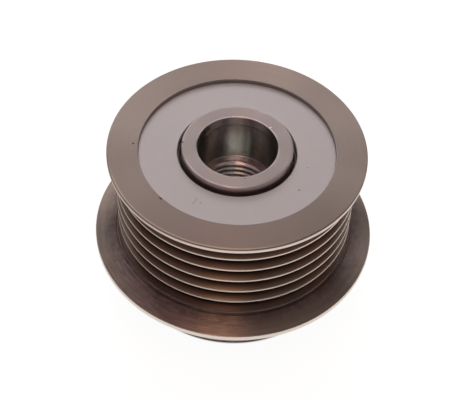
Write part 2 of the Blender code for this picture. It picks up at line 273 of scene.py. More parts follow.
def spindle(outline, columns):
    """A turned solid with no hole: the outline runs up from the axis and back to it.

    The rows between the two poles are circles, and a fan of triangles closes each pole.
    """
    angle = around(columns)
    radius, height = outline[None, 1:-1, 0], outline[None, 1:-1, 1]
    places = np.broadcast_arrays(radius * np.cos(angle), radius * np.sin(angle), height)
    circles = np.stack(places, axis=-1)
    rows = len(outline) - 2
    index = np.arange(columns * rows).reshape(columns, rows)
    right = np.roll(index, -1, axis=0)
    sides = np.stack((index[:, :-1], right[:, :-1], right[:, 1:], index[:, 1:]), axis=-1)
    poles = np.array(((0, 0, outline[0, 1]), (0, 0, outline[-1, 1])))
    foot, crown = index.size, index.size + 1
    foot_fan = np.stack((np.full(columns, foot), right[:, 0], index[:, 0]), axis=-1)
    crown_fan = np.stack((np.full(columns, crown), index[:, -1], right[:, -1]), axis=-1)
    points = np.concatenate((circles.reshape(-1, 3), poles))
    return points, sides.reshape(-1, 4), foot_fan, crown_fan


def moved(surface, angle=0.0, shift=(0.0, 0.0, 0.0)):
    """The surface shifted, then turned round the axis."""
    points = surface[0] + np.asarray(shift)
    cos, sin = math.cos(angle), math.sin(angle)
    turn = np.array(((cos, sin, 0), (-sin, cos, 0), (0, 0, 1)))
    return (points @ turn, *surface[1:])


def place(node, surface, material):
    """A finished piece that stands for the solid of that name and moves with its body."""
    points, *face_groups = surface
    faces = [face for group in face_groups for face in group.tolist()]
    mesh = bpy.data.meshes.new(node)
    mesh.from_pydata((points * MM).tolist(), [], faces)
    mesh.shade_smooth()
    mesh.materials.append(material)
    piece = bpy.data.objects.new(f"{node}_finished", mesh)
    bpy.context.collection.objects.link(piece)
    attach(piece, BODY_OF[node])
    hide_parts(node)


# Pieces


def groove_corners():
    """Belt grooves from the rear down: flank, root, root, flank for each, with the belt's rounding."""
    run = (CREST_R - ROOT_R) * math.tan(math.radians(GROOVE_ANGLE_DEG / 2))
    start = GROOVES_TOP_Z - CREST_FLAT / 2 - GROOVE_PITCH * np.arange(GROOVES)[:, None]
    width = GROOVE_PITCH - CREST_FLAT
    height = start - np.array((0, run, width - run, width))
    radius = np.broadcast_to((CREST_R, ROOT_R, ROOT_R, CREST_R), height.shape)
    rounding = np.broadcast_to((CREST_ROUND, ROOT_ROUND, ROOT_ROUND, CREST_ROUND), height.shape)
    return np.stack((radius, height, rounding), axis=-1).reshape(-1, 3).tolist()


def pulley_body(material):
    """Two flanges with the belt grooves between them, on a collar; recess, bore and mouth inside.

    A row of corners is a radius, a height and the corner's own rounding, as in the next pieces.
    """
    groove_low, groove_high = SNAP_GROOVE
    groove_r = MOUTH_R + SNAP_GROOVE_DEPTH
    relief_z = LAND_Z - RELIEF_DEPTH
    corners = [
        (REAR_FLANGE_R, REAR_FACE_Z, 0.22),
        (REAR_FLANGE_R, REAR_FACE_Z - REAR_RIM, 0.14),
        (CREST_R, GROOVES_TOP_Z, 0.2),
        *groove_corners(),
        (CREST_R, LAND_Z + 0.03, 0.06),
        (CREST_R + RELIEF_START, relief_z, 0.08),
        (CREST_R + RELIEF_MIDDLE, relief_z - RELIEF_DIP, 0.1),
        (CREST_R + RELIEF_END, relief_z, 0.1),
        (FLANGE_R, COLLAR_LENGTH + FRONT_RIM, 0.18),
        (FLANGE_R, COLLAR_LENGTH, 0.18),
        (COLLAR_R, COLLAR_LENGTH, 0.4),
        (COLLAR_R, COLLAR_CHAMFER, 0.1),
        (COLLAR_R - COLLAR_CHAMFER, 0, 0.1),
        (MOUTH_R + MOUTH_CHAMFER, 0, 0.08),
        (MOUTH_R, MOUTH_CHAMFER, 0.08),
        (MOUTH_R, groove_low, 0.06),
        (groove_r, groove_low, 0.12),
        (groove_r, groove_high, 0.12),
        (MOUTH_R, groove_high, 0.06),
        (MOUTH_R, FRONT_SEAL_Z, 0.3),
        (BEARING_SEAT_R, FRONT_SEAL_Z, 0.15),
        (BEARING_SEAT_R, RECESS_Z, 0.1),
        (RECESS_R, RECESS_Z, 0.15),
        (RECESS_R, REAR_FACE_Z, 0.12),
    ]
    place("pulley_body", turned(rounded(corners), BODY_COLUMNS), material)


def cover_plate(material):
    """A blanked washer: a rolled upper edge at its hole, and crisper ones elsewhere."""
    outer = RECESS_R - PRESS_GAP
    corners = [
        (PLATE_HOLE_R, PLATE_Z, 0.08),
        (outer, PLATE_Z, 0.08),
        (outer, PLATE_TOP_Z, 0.06),
        (PLATE_HOLE_R, PLATE_TOP_Z, 0.22),
    ]
    place("rear_cover_plate", turned(rounded(corners), BODY_COLUMNS), material)


def thread_radius(angle, height):
    """A metric thread: the radius is a trapezoid wave of height / pitch less the share of a turn.

    A quarter of the pitch stays at the minor radius and an eighth at the major one.
    """
    phase = np.mod(height / THREAD_PITCH - angle / TURN, 1)
    crest_start, root_end = (1 - THREAD_CREST_FLAT) / 2, THREAD_ROOT_FLAT / 2
    wave = np.clip((crest_start - np.abs(phase - 0.5)) / (crest_start - root_end), 0, 1)
    return THREAD_MINOR_R + (THREAD_MAJOR_R - THREAD_MINOR_R) * wave


def socket_radius(angle):
    """Teeth of the socket: a triangle wave of the angle with its tips and valleys cut flat."""
    phase = np.mod(angle * SOCKET_TEETH / TURN, 1)
    triangle = 1 - np.abs(2 * phase - 1)
    wave = np.clip((1 + 2 * SOCKET_FLAT) * triangle - SOCKET_FLAT, 0, 1)
    return SOCKET_TIP_R + SOCKET_TOOTH * wave


def hub_bore(angle):
    """The wall inside the hub from the front up: toothed socket, thread, lead-in cone.

    Each stretch is a set of levels. The radius of a stretch is the larger of its own wave, of the
    teeth or of the thread, and of the cones that open it at its ends.
    """
    floor = HUB_FRONT_Z + SOCKET_DEPTH
    teeth = socket_radius(angle)
    mouth = np.maximum(teeth, SOCKET_VALLEY_R + SOCKET_MOUTH - np.array(SOCKET_MOUTH_LEVELS))
    wall = np.repeat(teeth, len(SOCKET_WALL_LEVELS), axis=1)
    rows = round((PILOT_FLOOR_Z - floor) / THREAD_PITCH * THREAD_ROWS)
    levels = np.linspace(floor, PILOT_FLOOR_Z, rows)
    lead_in = PILOT_R - (PILOT_FLOOR_Z - levels) * (PILOT_R - THREAD_MINOR_R) / LEAD_IN
    countersink = THREAD_MAJOR_R + THREAD_MOUTH - (levels - floor)
    thread = np.maximum(np.maximum(thread_radius(angle, levels), lead_in), countersink)
    radius = np.concatenate((mouth, wall, teeth - SOCKET_STEP, thread), axis=1)
    depth = np.array((*SOCKET_MOUTH_LEVELS, *SOCKET_WALL_LEVELS, SOCKET_DEPTH))
    height = np.concatenate((HUB_FRONT_Z + depth, levels))
    return radius, np.broadcast_to(height, radius.shape)


def hub(material):
    """A sleeve whose ends are thinner than the seat in its middle, bored from the rear."""
    angle = around(HUB_COLUMNS)
    seat_front = FRONT_SEAL_TOP_Z + FIT_GAP / 2
    seat_rear = REAR_SEAL_Z - FIT_GAP / 2
    relief_r, edge_z = PILOT_R + PILOT_RELIEF, HUB_TOP_Z - WORN_EDGE_FALL
    corners = [
        (PILOT_R, PILOT_FLOOR_Z, 0.1),
        (PILOT_R, PILOT_RELIEF_Z - PILOT_RELIEF, 0.05),
        (relief_r, PILOT_RELIEF_Z, 0.05),
        (relief_r, HUB_TOP_Z - PILOT_CHAMFER + PILOT_RELIEF, 0.08),
        (PILOT_R + PILOT_CHAMFER, edge_z, 0.1),
        (PILOT_R + PILOT_CHAMFER + WORN_EDGE, HUB_TOP_Z, 0.3),
        (HUB_END_R - HUB_EDGE - WORN_EDGE, HUB_TOP_Z, 0.3),
        (HUB_END_R, edge_z, HUB_EDGE),
        (HUB_END_R, seat_rear, 0.2),
        (HUB_SEAT_R, seat_rear, 0.15),
        (HUB_SEAT_R, seat_front, 0.15),
        (HUB_END_R, seat_front, 0.2),
        (HUB_END_R, HUB_FRONT_Z + HUB_CHAMFER, 0.1),
        (HUB_END_R - HUB_CHAMFER, HUB_FRONT_Z, 0.1),
        (SOCKET_VALLEY_R + 2 * SOCKET_MOUTH, HUB_FRONT_Z, 0.1),
    ]
    outside = rounded(corners, closed=False)
    shape = (HUB_COLUMNS, len(outside))
    bore_radius, bore_height = hub_bore(angle)
    radius = np.concatenate((np.broadcast_to(outside[:, 0], shape), bore_radius), axis=1)
    height = np.concatenate((np.broadcast_to(outside[:, 1], shape), bore_height), axis=1)
    place("hub", ring_surface(angle, radius, height), material)


def lip_seal(node, bearing_side, outer_side, material):
    """A moulded rubber ring: a dished wall, a thin beaded lip at the hub, a rim to the bearing."""
    inward = math.copysign(1, bearing_side - outer_side)
    rim = BEARING_SEAT_R - PRESS_GAP
    lip = HUB_END_R + FIT_GAP
    dish_side = outer_side + SEAL_DISH * inward
    back = outer_side + SEAL_WALL * inward
    corners = [
        (rim, bearing_side, 0.15),
        (rim, outer_side, 0.2),
        (rim - SEAL_DISH_EDGE, outer_side, 0.15),
        (rim - SEAL_DISH_EDGE - SEAL_DISH_SLOPE, dish_side, 0.15),
        (lip + SEAL_LIP_WALL, dish_side, 0.15),
        (lip + SEAL_BEAD, outer_side, 0.1),
        (lip + SEAL_BEAD / 2, outer_side, 0.1),
        (lip, back, 0.12),
        (lip, back + SEAL_BEAD * inward, 0.1),
        (lip + SEAL_WALL, back, 0.25),
        (rim - SEAL_RIM, back, 0.3),
        (rim - SEAL_RIM, bearing_side, 0.15),
    ]
    place(node, turned(rounded(corners), RING_COLUMNS), material)


def bearing_ring(node, seat, side, bottom, top, material):
    """A ring whose inner side, towards the balls, holds a round track.

    The track is the circle round the ball's centre, cut off where it meets the shoulder: radius
    equals the pitch radius plus or minus the root of reach squared less height squared. It goes
    into the ring's outline between the two shoulder corners, after three quarters of the points.
    """
    track = BALL_R + BALL_GAP
    cut = track - SHOULDER
    shoulder = BALL_PITCH_R + side * cut
    corners = [(seat, bottom, 0.35), (seat, top, 0.35), (shoulder, top, 0.2), (shoulder, bottom, 0.2)]
    box = rounded(corners)
    edge = math.sqrt(track**2 - cut**2) + SUPPORT
    rise = np.linspace(edge, -edge, TRACK_ROWS)
    dip = np.sqrt(np.clip(track**2 - rise**2, cut**2, None))
    round_track = np.stack((BALL_PITCH_R + side * dip, (bottom + top) / 2 + rise), axis=-1)
    start = 3 * len(box) // 4
    outline = np.concatenate((box[:start], round_track, box[start:]))
    place(node, turned(outline, RING_COLUMNS), material)


def balls(bearing, middle, material):
    """Ground balls: a half circle turned round its own axis, at each pocket of the cage."""
    latitude = np.linspace(-math.pi / 2, math.pi / 2, BALL_ROWS)
    ball = spindle(BALL_R * np.stack((np.cos(latitude), np.sin(latitude)), axis=-1), BALL_COLUMNS)
    for k in range(BALLS):
        surface = moved(ball, TURN * k / BALLS, (BALL_PITCH_R, 0, middle))
        place(f"{bearing}_ball_{k + 1:02d}", surface, material)


def ball_cage(node, bottom, middle, material):
    """A snap cage: its upper side dips as a half circle under each ball, with prongs between them.

    The distance along the pitch circle from the nearest ball gives the upper side's level, and the
    outline's unit square is stretched up to it.
    """
    pocket = BALL_R + POCKET_GAP
    angle = around(CAGE_COLUMNS)
    across = (np.mod(angle * BALLS / TURN + 0.5, 1) - 0.5) * TURN / BALLS * BALL_PITCH_R
    seat = -np.sqrt(np.clip(pocket**2 - across**2, 0, None))
    prong = np.clip((np.abs(across) - pocket) / CAGE_PRONG_EDGE, 0, 1)
    top = middle + np.where(np.abs(across) < pocket, seat, CAGE_PRONG * prong)
    base = bottom + CAGE_BASE
    inner, outer = BALL_PITCH_R - CAGE_HALF_WALL, BALL_PITCH_R + CAGE_HALF_WALL
    unit = rounded([(inner, 0, 0.12), (outer, 0, 0.12), (outer, 1, 0.12), (inner, 1, 0.12)])
    height = base + unit[None, :, 1] * (top - base)
    place(node, ring_surface(angle, unit[None, :, 0], height), material)


def cam_ring(material):
    """The clutch's outer ring: its bore follows a ramp over each roller.

    Within a roller's share of the turn, the radius is read off straight lines between the pocket's
    back wall, the top of the ramp and the land beyond it.
    """
    half = math.asin(ROLLER_R / ROLLER_PITCH_R)
    back = half + math.radians(ROLLER_TRAVEL_DEG) + FIT_GAP / ROLLER_PITCH_R
    forward = half + SPRING_ROOM / ROLLER_PITCH_R
    land = RAMP_R - RAMP_POCKET
    slope = RAMP_SLOPE * ROLLER_PITCH_R
    share = TURN / ROLLERS
    angle = around(CAM_COLUMNS)
    here = np.mod(angle[:, 0] + share / 2, share) - share / 2
    knots = (-back - RAMP_BACK_STEP, -back, forward / 2, forward)
    levels = (land, RAMP_R - slope * back, RAMP_R + slope * forward / 2, land)
    bore = np.interp(here, knots, levels)[:, None]
    bottom, top = CLUTCH_Z, CLUTCH_TOP_Z
    unit = rounded([(0, bottom, 0.15), (1, bottom, 0.15), (1, top, 0.15), (0, top, 0.15)])
    radius = bore + unit[None, :, 0] * (RING_OUTER_R - bore)
    surface = ring_surface(angle, radius, unit[None, :, 1])
    place("clutch_cam_ring", surface, material)


def rollers(material):
    """Needle rollers with rounded ends."""
    _, bottom, top = reach("clutch_roller_1")
    corners = [(0, bottom, 0.1), (ROLLER_R, bottom, 0.3), (ROLLER_R, top, 0.3), (0, top, 0.1)]
    roller = spindle(rounded(corners, closed=False), ROLLER_COLUMNS)
    for k in range(ROLLERS):
        surface = moved(roller, TURN * k / ROLLERS, (ROLLER_PITCH_R, 0, 0))
        place(f"clutch_roller_{k + 1}", surface, material)


def springs(material):
    """A leaf folded back and forth: a thin cross-section carried along a rounded zigzag.

    The zigzag's two sides stand a leaf's thickness apart, and the closed strip between them is
    raised from the leaf's lower edge to its upper one. Each lid joins a point of one side to its
    partner on the other.
    """
    _, bottom, top = reach("clutch_spring_1")
    start = ROLLER_R + FIT_GAP
    pitch = (SPRING_ROOM - 2 * FIT_GAP) / SPRING_LEGS
    low = HUB_SEAT_R + FIT_GAP + SPRING_MARGIN
    high = RAMP_R - RAMP_POCKET - FIT_GAP - SPRING_MARGIN - SPRING_LEAF
    folds = range(SPRING_LEGS + 1)
    inner = [(high if i % 2 else low, start + i * pitch, SPRING_FOLD) for i in folds]
    outer = [(radius + SPRING_LEAF, along, fold) for radius, along, fold in inner]
    outline = rounded(inner + outer[::-1])
    middle = len(outline) // 2
    edge = np.array((bottom, bottom + SPRING_EDGE, top - SPRING_EDGE, top))
    rows = np.broadcast_to(outline[:, None], (len(outline), len(edge), 2))
    height = np.broadcast_to(edge, rows.shape[:2])
    points = np.concatenate((rows, height[..., None]), axis=-1)
    index = np.arange(len(outline) * len(edge)).reshape(len(outline), len(edge))
    right = np.roll(index, -1, axis=0)
    walls = np.stack((index[:, :-1], index[:, 1:], right[:, 1:], right[:, :-1]), axis=-1)
    near = np.arange(middle - 1)
    far = len(outline) - 1 - near
    pairs = (near, near + 1, far - 1, far)
    lids = [np.stack([index[row, side] for row in pairs], axis=-1) for side in (0, -1)]
    strip = (points.reshape(-1, 3), walls.reshape(-1, 4), lids[0], lids[1][:, ::-1])
    for k in range(ROLLERS):
        surface = moved(strip, TURN * k / ROLLERS)
        place(f"clutch_spring_{k + 1}", surface, material)


# Finishes


def channel(value):
    """One screen colour channel, 0 to 255, as the linear value that a shader takes."""
    share = value / 255
    return share / 12.92 if share <= 0.04045 else ((share + 0.055) / 1.055) ** 2.4


def screen(red, green, blue):
    """A screen colour as a shader's colour."""
    return (channel(red), channel(green), channel(blue), 1.0)


class NodeKit:
    """Adds and links shader nodes in one tree."""

    def __init__(self, tree):
        self.nodes, self.links = tree.nodes, tree.links

    def add(self, kind, **settings):
        """A new node with these settings."""
        node = self.nodes.new(kind)
        for name, value in settings.items():
            setattr(node, name, value)
        return node

    def feed(self, socket, value):
        """Links an output to a socket, or sets the socket to a number or colour."""
        if isinstance(value, bpy.types.NodeSocket):
            self.links.new(value, socket)
        else:
            socket.default_value = value

    def compute(self, operation, *values):
        """One step of arithmetic on numbers or outputs."""
        node = self.add("ShaderNodeMath", operation=operation)
        for socket, value in zip(node.inputs, values):
            self.feed(socket, value)
        return node.outputs[0]

    def product(self, first, *others):
        """All the values multiplied together."""
        for value in others:
            first = self.compute("MULTIPLY", first, value)
        return first

    def strongest(self, first, *others):
        """The largest of the values, point by point."""
        for value in others:
            first = self.compute("MAXIMUM", first, value)
        return first

    def split(self, vector):
        """The x, y and z of a vector."""
        node = self.add("ShaderNodeSeparateXYZ")
        self.feed(node.inputs[0], vector)
        return node.outputs

    def join(self, x, y, z):
        """A vector from its x, y and z."""
        node = self.add("ShaderNodeCombineXYZ")
        for socket, value in zip(node.inputs, (x, y, z)):
            self.feed(socket, value)
        return node.outputs[0]

    def ramp(self, value, low, high, start=0.0, end=1.0):
        """The value's place between low and high, as a number from start to end."""
        node = self.add("ShaderNodeMapRange", clamp=True)
        for socket, setting in zip(node.inputs, (value, low, high, start, end)):
            self.feed(socket, setting)
        return node.outputs[0]

    def within(self, *edges):
        """A mask with soft edges; each edge is a value, where it is outside and where it is inside."""
        return self.product(*(self.ramp(*edge) for edge in edges))

    def mix(self, share, first, second, blend="MIX"):
        """The first colour where the share is 0, and the second one, or their blend, where it is 1."""
        node = self.add("ShaderNodeMix", data_type="RGBA", blend_type=blend)
        for index, value in ((0, share), (6, first), (7, second)):
            self.feed(node.inputs[index], value)
        return node.outputs[2]


class Finish(NodeKit):
    """A Principled material and the patterns that the pulley's finishes share.

    A pattern works in millimetres: place is the point itself, from its Object coordinates, x, y and
    height are its parts, and radius is its distance from the pulley's axis.
    """

    def __init__(self, name, metallic, roughness):
        self.material = bpy.data.materials.new(name)
        self.material.use_nodes = True
        super().__init__(self.material.node_tree)
        self.shader = self.nodes["Principled BSDF"]
        self.set(Metallic=metallic, Roughness=roughness)
        scale = self.add("ShaderNodeVectorMath", operation="SCALE")
        self.feed(scale.inputs["Vector"], self.add("ShaderNodeTexCoord").outputs["Object"])
        self.feed(scale.inputs["Scale"], 1 / MM)
        self.place = scale.outputs["Vector"]
        self.x, self.y, self.height = self.split(self.place)
        squares = [self.product(value, value) for value in (self.x, self.y)]
        self.radius = self.compute("SQRT", self.compute("ADD", *squares))

    def set(self, **sockets):
        """Feeds the shader's sockets, named with an underscore for each space."""
        for name, value in sockets.items():
            self.feed(self.shader.inputs[name.replace("_", " ")], value)

    def noise(self, vector, scale, detail=2.0, roughness=0.5):
        """Cloudy noise; scale is its number of clouds in a millimetre."""
        node = self.add("ShaderNodeTexNoise")
        settings = {"Vector": vector, "Scale": scale, "Detail": detail, "Roughness": roughness}
        for name, value in settings.items():
            self.feed(node.inputs[name], value)
        return node.outputs["Fac"]

    def turning_marks(self, scale, along=3.0):
        """Grooves round the axis: noise on the radius and height that changes slowly with the angle."""
        angle = self.product(self.compute("ARCTAN2", self.y, self.x), along / scale)
        return self.noise(self.join(self.radius, self.height, angle), scale, 3.0, 0.6)

    def spots(self, *places):
        """1 in the middle of each spot, fading to 0 outside it; a spot is x, y, height and radius."""
        masks = []
        for x, y, height, radius in places:
            node = self.add("ShaderNodeVectorMath", operation="DISTANCE")
            self.feed(node.inputs[0], self.place)
            self.feed(node.inputs[1], (x, y, height))
            masks.append(self.ramp(node.outputs["Value"], 1.6 * radius, 0.5 * radius))
        return self.strongest(*masks)

    def marked(self, marks, dark, pale):
        """A tone that goes from dark to pale with the marks."""
        return self.mix(self.ramp(marks, 0.3, 0.7), screen(*dark), screen(*pale))

    def lathe_shine(self):
        """Reflections spread across the tool's grooves, round the axis, and stay crisp along them."""
        tangent = self.add("ShaderNodeTangent", direction_type="RADIAL", axis="Z").outputs[0]
        self.set(Anisotropic=0.9, Anisotropic_Rotation=0.25, Tangent=tangent)

    def bump(self, height, strength, distance):
        """Shading as if the surface rose with the height, by up to the distance in millimetres."""
        node = self.add("ShaderNodeBump")
        self.feed(node.inputs["Strength"], strength)
        self.feed(node.inputs["Distance"], distance * MM)
        self.feed(node.inputs["Height"], height)
        self.set(Normal=node.outputs[0])


def phosphate_ground(finish, marks):
    """Cloudy brown phosphate with turning marks, painted shade towards the near side of the rear face,
    painted light on the recess wall.
    """
    cloud = finish.noise(finish.place, 0.14, 3.0)
    tone = finish.mix(finish.ramp(cloud, 0.35, 0.65), screen(164, 146, 138), screen(169, 151, 143))
    # Painted shade: the rear face is darker towards the near side and a little paler at the far side,
    # with a cloudy edge.
    shade_line = finish.compute("ADD", finish.y, finish.ramp(cloud, 0.3, 0.7, -3.0, 3.0))
    rear_painted_shade = finish.mix(finish.ramp(shade_line, -26.0, 4.0), screen(150, 131, 124), screen(170, 152, 144))
    rear_face = finish.ramp(finish.height, REAR_FACE_Z - 0.6, REAR_FACE_Z - 0.2)
    tone = finish.mix(rear_face, tone, rear_painted_shade)
    # Painted light: the recess wall is painted paler than the phosphate.
    painted_recess_light = finish.ramp(finish.radius, RECESS_R + 0.14, RECESS_R + 0.04)
    tone = finish.mix(painted_recess_light, tone, screen(176, 170, 170))
    return finish.mix(finish.ramp(marks, 0.35, 0.65, 0.0, 0.12), tone, screen(150, 130, 119))


def groove_tones(finish, tone, grooves):
    """Flanks a little darker, a painted copper reflection low down in the middle, and painted shade
    towards the groove bottoms.
    """
    flanks = finish.product(finish.ramp(finish.radius, CREST_R - 0.02, CREST_R - 0.2), grooves)
    tone = finish.mix(flanks, tone, screen(162, 138, 124))
    # Painted reflection: copper on the flanks low down in the middle of the near side, where the warm
    # ceiling is mirrored.
    copper_reflection = finish.within(
        (finish.x, 6.0, 3.0),
        (finish.x, -12.0, -3.0),
        (finish.y, -8.0, -16.0),
        (finish.height, 32.0, 27.0),
    )
    tone = finish.mix(finish.product(flanks, copper_reflection), tone, screen(182, 154, 132))
    # Painted shade: darker towards the groove bottoms, where the flanks shade each other.
    root_shade = finish.product(finish.ramp(finish.radius, CREST_R - 0.2, CREST_R - 1.6), grooves)
    return finish.mix(root_shade, tone, screen(86, 66, 58))


def cone_tones(finish, tone):
    """The lower flange's cone: painted shade at a ragged foot, rings, painted grey and copper reflection
    on streaks near the middle, and mottle.
    """
    cone = (finish.height, LAND_Z + 0.5, LAND_Z + 0.1)
    # Painted shade: a dark band with a ragged edge round the cone's foot under the grooves, a little
    # less dark above LAND_Z + 0.2.
    rag = finish.ramp(finish.noise(finish.place, 0.42, 4.0, 0.7), 0.3, 0.7, -0.9, 0.9)
    ragged = finish.compute("ADD", finish.radius, rag)
    foot = finish.within((ragged, 30.0, 26.4), (finish.height, LAND_Z + 0.9, LAND_Z + 0.6))
    foot_rise = finish.ramp(finish.height, LAND_Z + 0.1, LAND_Z + 0.2)
    tone = finish.mix(foot, tone, finish.mix(foot_rise, screen(112, 94, 90), screen(126, 102, 94)))
    ring_marks = finish.ramp(finish.turning_marks(0.9, 1.2), 0.42, 0.62, 0.0, 0.3)
    tone = finish.mix(finish.product(ring_marks, finish.ramp(*cone)), tone, screen(120, 98, 90))
    # Painted reflection: on the near side left of the middle, the cone's turning streaks take a grey and
    # copper reflection of the warm ceiling.
    streaks = finish.ramp(finish.turning_marks(2.4, 7.0), 0.36, 0.64)
    streak_reflection_tone = finish.mix(streaks, screen(120, 108, 106), screen(188, 158, 143))
    near_reflection = finish.within((finish.y, -4.0, -14.0), (finish.x, 6.0, 1.0), cone)
    tone = finish.mix(finish.product(near_reflection, 0.45), tone, streak_reflection_tone)
    mottle = finish.ramp(finish.noise(finish.place, 0.52, 5.0, 0.75), 0.48, 0.64, 0.0, 0.6)
    left_side = finish.ramp(finish.x, 4.0, -6.0, 0.25, 1.0)
    mottle = finish.product(mottle, left_side, finish.within((finish.radius, 29.6, 27.8), cone))
    return finish.mix(mottle, tone, screen(104, 92, 98))


def rear_edge_reflection(finish, tone):
    """A painted reflection: a tan line inside the near edge of the rear face."""
    # Painted reflection: a thin tan line inside the near edge of the rear face, strongest on the
    # near-left.
    edge_reflection = finish.within(
        (finish.radius, REAR_FLANGE_R - 0.6, REAR_FLANGE_R - 0.45),
        (finish.radius, REAR_FLANGE_R - 0.15, REAR_FLANGE_R - 0.25),
        (finish.height, REAR_FACE_Z - 0.25, REAR_FACE_Z - 0.1),
        (finish.y, -6.0, -12.0),
    )
    share = finish.product(edge_reflection, finish.ramp(finish.x, 12.0, 4.0, 0.0, 0.7))
    return finish.mix(share, tone, screen(204, 180, 156))


def bare_and_lit_edges(finish, below_cone):
    """Uncoated metal where the coat has come off on the groove crests and both rims, painted lighter to
    the right on the crests and rear rim, and a painted highlight on a thin lip at the cone's foot.
    """
    rear_rim = finish.within(
        (finish.radius, REAR_FLANGE_R - 0.15, REAR_FLANGE_R - 0.05),
        (finish.height, REAR_FACE_Z - 1.4, REAR_FACE_Z - 1.2),
        (finish.height, REAR_FACE_Z - 0.15, REAR_FACE_Z - 0.4),
    )
    crests = finish.within(
        (finish.radius, CREST_R - 0.2, CREST_R - 0.05),
        below_cone,
        (finish.height, LAND_Z + 0.9, LAND_Z + 1.3),
    )
    # Painted highlight: a thin bright line on the lip at the cone's foot, stronger to the right.
    lip = finish.within(
        (finish.radius, CREST_R + 0.3, CREST_R + 0.2),
        (finish.radius, CREST_R - 0.3, CREST_R - 0.2),
        (finish.height, LAND_Z - 0.05, LAND_Z + 0.02),
        (finish.height, LAND_Z + 0.22, LAND_Z + 0.12),
    )
    # Painted light: the crests and the rear rim are made lighter to the right.
    painted_light_to_the_right = finish.ramp(finish.x, -20.0, -2.0, 0.28, 0.88)
    return finish.strongest(
        finish.ramp(finish.radius, FLANGE_R - 0.2, FLANGE_R - 0.05),
        finish.product(finish.strongest(crests, rear_rim), painted_light_to_the_right),
        finish.product(lip, finish.ramp(finish.x, -6.0, 10.0, 0.12, 0.5)),
    )


def phosphated_steel():
    """Turned steel under a thin brown phosphate, with painted shade down in the belt grooves, uncoated
    on the rims.
    """
    finish = Finish("brown_phosphated_steel", 1.0, 0.4)
    fine, coarse = finish.turning_marks(7.0), finish.turning_marks(1.5)
    below_cone = (finish.height, GROOVES_TOP_Z - 0.16, GROOVES_TOP_Z - 0.36)
    grooves = finish.within(below_cone, (finish.height, LAND_Z + 0.1, LAND_Z + 0.5))
    tone = phosphate_ground(finish, coarse)
    tone = groove_tones(finish, tone, grooves)
    tone = cone_tones(finish, tone)
    tone = rear_edge_reflection(finish, tone)
    specks = finish.spots(
        (-22.14, -0.25, REAR_FACE_Z, 0.2),
        (-15.05, -15.3, REAR_FACE_Z, 0.22),
        (-15.4, -15.0, REAR_FACE_Z, 0.12),
    )
    tone = finish.mix(specks, tone, screen(60, 46, 42))
    # The tone of uncoated metal, also used for the painted highlights and painted light on the edges.
    bare_and_lit_tone = finish.marked(fine, (232, 219, 207), (240, 227, 215))
    tone = finish.mix(bare_and_lit_edges(finish, below_cone), tone, bare_and_lit_tone)
    finish.set(Base_Color=tone, Roughness=finish.ramp(fine, 0.25, 0.75, 0.31, 0.37))
    finish.lathe_shine()
    finish.bump(coarse, 0.04, 0.01)
    return finish.material


def hub_inside(finish, marks):
    """The bore from its foot up: thread with painted shade at the root of each turn, lead-in, pilot bore
    and relief.
    """
    lead_in_z = PILOT_FLOOR_Z - LEAD_IN
    thread = finish.marked(marks, (228, 222, 220), (234, 228, 226))
    bore = finish.marked(marks, (184, 182, 175), (190, 188, 181))
    entry = finish.marked(marks, (198, 191, 189), (204, 197, 195))
    lead_in = finish.ramp(finish.height, lead_in_z - 0.1, lead_in_z + 0.1)
    thread = finish.mix(lead_in, thread, screen(222, 198, 194))
    # Painted shade: a dark root to each thread turn.
    root_shade = finish.within(
        (finish.radius, THREAD_MAJOR_R - 0.38, THREAD_MAJOR_R - 0.08),
        (finish.height, lead_in_z - 0.1, lead_in_z - 0.4),
    )
    thread = finish.mix(root_shade, thread, screen(104, 92, 88))
    pilot = finish.ramp(finish.height, PILOT_FLOOR_Z - 0.2, PILOT_FLOOR_Z + 0.2)
    relief = finish.ramp(finish.height, PILOT_RELIEF_Z - PILOT_RELIEF, PILOT_RELIEF_Z)
    return finish.mix(relief, finish.mix(pilot, thread, bore), entry)


def hub_steel():
    """Finer turned steel with a clearer shine, greyer down the bore, with painted highlights and glints
    on its edges.
    """
    finish = Finish("fine_turned_steel", 1.0, 0.35)
    marks = finish.turning_marks(5.0)
    face = finish.marked(marks, (176, 160, 157), (179, 163, 160))
    # Painted highlights: a pinkish line along the near-left outer edge of the hub's top and along the
    # far edge of its bore.
    outer_edge = finish.within(
        (finish.radius, HUB_END_R - 0.5, HUB_END_R - 0.3),
        (finish.y, -3.0, -7.0),
        (finish.x, 5.0, -1.0),
    )
    inner_edge = finish.within((finish.radius, PILOT_R + 0.6, PILOT_R + 0.45), (finish.y, 1.0, 6.0))
    top = finish.ramp(finish.height, HUB_TOP_Z - 0.25, HUB_TOP_Z - 0.15)
    edge_highlights = finish.product(finish.strongest(outer_edge, inner_edge), top)
    face = finish.mix(edge_highlights, face, screen(226, 204, 206))
    outside = finish.ramp(finish.radius, PILOT_R + 0.12, PILOT_R + 0.3)
    tone = finish.mix(outside, hub_inside(finish, marks), face)
    # Painted highlight: a bright band round the top of the hub's outer side.
    side = finish.within(
        (finish.radius, HUB_END_R - 0.12, HUB_END_R - 0.06),
        (finish.height, REAR_FACE_Z - 0.7, REAR_FACE_Z),
    )
    tone = finish.mix(side, tone, screen(252, 238, 238))
    edge = HUB_TOP_Z - WORN_EDGE_FALL
    glints = finish.spots((-1.2, 8.79, edge, 0.16), (6.86, 6.07, edge, 0.2))
    nicks = finish.spots((-11.75, 0.4, edge, 0.22), (1.8, -9.08, HUB_TOP_Z, 0.1))
    tone = finish.mix(glints, tone, screen(250, 244, 242))
    tone = finish.mix(nicks, tone, screen(70, 56, 54))
    grain = finish.ramp(marks, 0.25, 0.75, -0.01, 0.01)
    rough = finish.compute("ADD", grain, finish.ramp(outside, 0.0, 1.0, 0.23, 0.32))
    finish.set(Base_Color=tone, Roughness=rough)
    finish.lathe_shine()
    return finish.material


